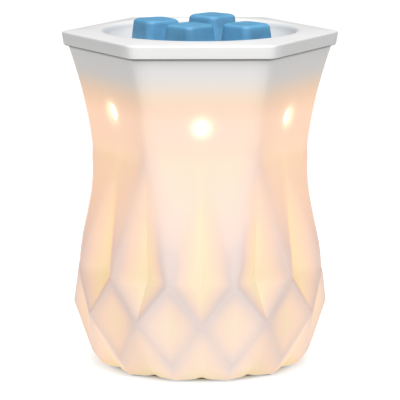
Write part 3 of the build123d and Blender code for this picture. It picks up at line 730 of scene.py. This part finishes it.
def buildCap():
    # rolled thread: r = crest - depth (1 - cos(z turn - angle)) / 2, fading out at both ends
    b = bulb
    phi = np.linspace(0, 2 * math.pi, 72, endpoint=False)
    z = np.linspace(b["capBase"], b["threadTop"], 60)[:, None]
    low, high, end = b["capBase"], b["threadTop"], b["threadEnd"]
    fade = smoothStep(low, low + end, z) * (1 - smoothStep(high - end, high, z))
    wave = (1 + np.cos(2 * math.pi * z / b["pitch"] - phi)) / 2
    thread = b["crest"] - b["threadDepth"] + b["threadDepth"] * wave * fade
    rows = [(thread[k], z[k] + 0 * phi) for k in range(len(z))]
    for r, h in b["collar"]:
        rows.append((r + 0 * phi, h + 0 * phi))
    r, h = np.array([row[0] for row in rows]), np.array([row[1] for row in rows])
    mesh = gridMesh("bulb_cap_thread", r * np.cos(phi), r * np.sin(phi), h, closeRows=True)
    return addPiece("bulb_cap_thread", mesh, "bulb", ["bulb_cap"], 60.0)


def buildFilament():
    # coil round a bowed line: p(t) = line(t) + R (cos n u + sin n v) + tube round that
    b = bulb
    t = np.linspace(0, 1, b["coilTurns"] * 10)[:, None]
    around = np.linspace(0, 2 * math.pi, 8, endpoint=False)
    turn = 2 * math.pi * b["coilTurns"] * t
    fade = np.minimum(1, 12 * np.minimum(t, 1 - t))
    x = b["filamentHalf"] * (2 * t - 1)
    z = b["filamentHeight"] + b["filamentBow"] * np.sin(math.pi * t)
    y = 0 * t
    radial = np.concatenate([0 * t, np.cos(turn), np.sin(turn)], 1)
    centre = np.concatenate([x, y, z], 1) + b["coilRadius"] * fade * radial
    along = np.gradient(centre, axis=0)
    along /= np.linalg.norm(along, axis=1, keepdims=True)
    side = np.cross(along, radial)
    side /= np.maximum(np.linalg.norm(side, axis=1, keepdims=True), 1e-9)
    up = np.cross(side, along)
    c, s = np.cos(around)[None, :, None], np.sin(around)[None, :, None]
    p = centre[:, None, :] + b["coilWire"] * (c * side[:, None, :] + s * up[:, None, :])
    mesh = gridMesh("filament_coil", p[..., 0], p[..., 1], p[..., 2], capStart=centre[0], capEnd=centre[-1])
    return addPiece("filament_coil", mesh, "bulb", ["filament"], 60.0)


capPiece = buildCap()
filamentPiece = buildFilament()


steel = makeMaterial("zincSteel", (0.62, 0.63, 0.62), roughness=0.32, metallic=1.0, tint=0.10, grain=500.0, bump=0.1)
nickel = makeMaterial("nickel", (0.70, 0.68, 0.64), roughness=0.22, metallic=1.0, tint=0.08, grain=300.0, bump=0.06)
brass = makeMaterial("brass", (0.75, 0.56, 0.26), roughness=0.28, metallic=1.0, tint=0.12, grain=400.0, bump=0.08)
rubber = makeMaterial("rubber", (0.66, 0.66, 0.64), roughness=0.75, tint=0.08, grain=900.0, bump=0.2)
plastic = makeMaterial("coverPlastic", (0.80, 0.80, 0.78), roughness=0.55, tint=0.04, grain=1500.0, bump=0.3)
fibre = makeMaterial("fibre", (0.30, 0.12, 0.08), roughness=0.85, tint=0.25, grain=700.0, bump=0.3)
phenolic = makeMaterial("phenolic", (0.82, 0.80, 0.74), roughness=0.38, tint=0.05, grain=800.0, bump=0.08)
steatite = makeMaterial("steatite", (0.82, 0.79, 0.72), roughness=0.7, tint=0.06, grain=1200.0, bump=0.2)
solder = makeMaterial("solder", (0.60, 0.60, 0.61), roughness=0.35, metallic=1.0, tint=0.12, grain=600.0, bump=0.2)
glass = makeMaterial("bulbGlass", (0.98, 0.98, 0.97), roughness=0.06, tint=0.01, grain=40.0, bump=0.01,
                     Transmission_Weight=1.0, IOR=1.47)
blackGlass = makeMaterial("blackGlass", (0.03, 0.03, 0.035), roughness=0.15, tint=0.2, grain=200.0, bump=0.05)
wire = makeMaterial("leadWire", (0.55, 0.52, 0.47), roughness=0.3, metallic=1.0, tint=0.1, grain=900.0, bump=0.05)
hot = makeMaterial("hotFilament", (0.5, 0.4, 0.3), roughness=0.5, tint=0.1, grain=900.0, bump=0.05,
                   Emission_Color=(1.0, 0.78, 0.45, 1), Emission_Strength=12.0)
hot.cycles.emission_sampling = "NONE"

looks = {
    steel: ("threaded_nipple", "nipple_nuts", "lock_washer"),
    brass: ("terminal_screws", "centre_contact", "screw_shell"),
    rubber: ("foot_pads", "cord_grommet"),
    plastic: ("bottom_cover",),
    fibre: ("floor_washers",),
    phenolic: ("holder_cap", "holder_skirt"),
    steatite: ("contact_block",),
    solder: ("tip_contact",),
    glass: ("bulb_glass", "bulb_stem"),
    blackGlass: ("cap_insulator",),
    wire: ("lead_wires", "filament_support"),
}
for material, names in looks.items():
    for name in names:
        nodes[name].data.materials.clear()
        nodes[name].data.materials.append(material)
capPiece.data.materials.append(nickel)
filamentPiece.data.materials.append(hot)
print("materials set")


# floor, light and camera; the studio's sizes are metres
studio = {
    "floorHalf": 5.0,
    "floorTone": 0.38,
    # distance from the pot's middle and the floor's own light there; the dark centre is a painted shadow under the pot
    "floorLightAndShadowStops": ((0.047, 0.02), (0.054, 0.84), (0.080, 0.93), (2.2, 1.0)),
    "world": 0.04,
    "boxPower": 29.0,
    "boxSize": 1.0,
    "boxPlace": (0.06, -0.66, 1.46),
    "boxAim": (0, 0, 0.1),
}


def buildFloor():
    # a flat square, grey with a light of its own that depends only on the distance from the pot, falling to a painted
    # shadow close under it
    half = studio["floorHalf"]
    mesh = bpy.data.meshes.new("floor")
    mesh.from_pydata([(-half, -half, 0), (half, -half, 0), (half, half, 0), (-half, half, 0)], [], [(0, 1, 2, 3)])
    floor = bpy.data.objects.new("floor", mesh)
    bpy.context.scene.collection.objects.link(floor)
    tone = studio["floorTone"]
    white = makeMaterial("studioWhite", (tone, tone, tone), roughness=0.9, tint=0.003, grain=8.0, bump=0.0,
                         Specular_IOR_Level=0.0)
    white.cycles.emission_sampling = "NONE"
    tree = white.node_tree
    shader = tree.nodes["Principled BSDF"]
    length = tree.nodes.new("ShaderNodeVectorMath")
    length.operation = "LENGTH"
    link(tree, tree.nodes["Texture Coordinate"], "Object", length, "Vector")
    ramp = tree.nodes.new("ShaderNodeValToRGB")
    ramp.color_ramp.interpolation = "EASE"
    reach = studio["floorLightAndShadowStops"][-1][0]
    stops = [(r / reach, g) for r, g in studio["floorLightAndShadowStops"]]
    ramp.color_ramp.elements[0].position, ramp.color_ramp.elements[1].position = stops[0][0], stops[-1][0]
    for position, _ in stops[1:-1]:
        ramp.color_ramp.elements.new(position)
    for stop, (_, g) in zip(ramp.color_ramp.elements, stops):
        stop.color = (g, g, g, 1)
    scaled = tree.nodes.new("ShaderNodeMapRange")
    scaled.inputs["From Max"].default_value = reach
    link(tree, length, "Value", scaled, "Value")
    link(tree, scaled, "Result", ramp, "Fac")
    link(tree, ramp, "Color", shader, "Emission Color")
    shader.inputs["Emission Strength"].default_value = 1.0
    mesh.materials.append(white)


def addLight(name, power, size, place, aim):
    # square area light, turned so that -Z looks from place to aim
    data = bpy.data.lights.new(name, "AREA")
    data.energy = power
    data.size = size
    lamp = bpy.data.objects.new(name, data)
    lamp.location = place
    lamp.rotation_euler = (Vector(aim) - Vector(place)).to_track_quat("-Z", "Y").to_euler()
    bpy.context.scene.collection.objects.link(lamp)


buildFloor()
addLight("softBox", studio["boxPower"], studio["boxSize"], studio["boxPlace"], studio["boxAim"])
world = bpy.data.worlds.new("studio")
world.use_nodes = True
world.node_tree.nodes["Background"].inputs["Color"].default_value = (1, 1, 1, 1)
world.node_tree.nodes["Background"].inputs["Strength"].default_value = studio["world"]
bpy.context.scene.world = world

camera = {"aim": (0.0, 0.0, 86.5), "distance": 1518.5, "elevation": 10.247, "azimuth": -0.844, "lens": 258.14}
lensData = bpy.data.cameras.new("camera")
lensData.lens = camera["lens"]
lensData.sensor_width = 36.0
lensData.clip_end = 20.0
eye = bpy.data.objects.new("camera", lensData)
up, round_ = camera["elevation"] * deg, camera["azimuth"] * deg
away = Vector((math.sin(round_) * math.cos(up), -math.cos(round_) * math.cos(up), math.sin(up)))
eye.location = (Vector(camera["aim"]) + away * camera["distance"]) * mm
eye.rotation_euler = (-away).to_track_quat("-Z", "Y").to_euler()
bpy.context.scene.collection.objects.link(eye)
bpy.context.scene.camera = eye
bpy.context.scene.view_settings.view_transform = "Standard"
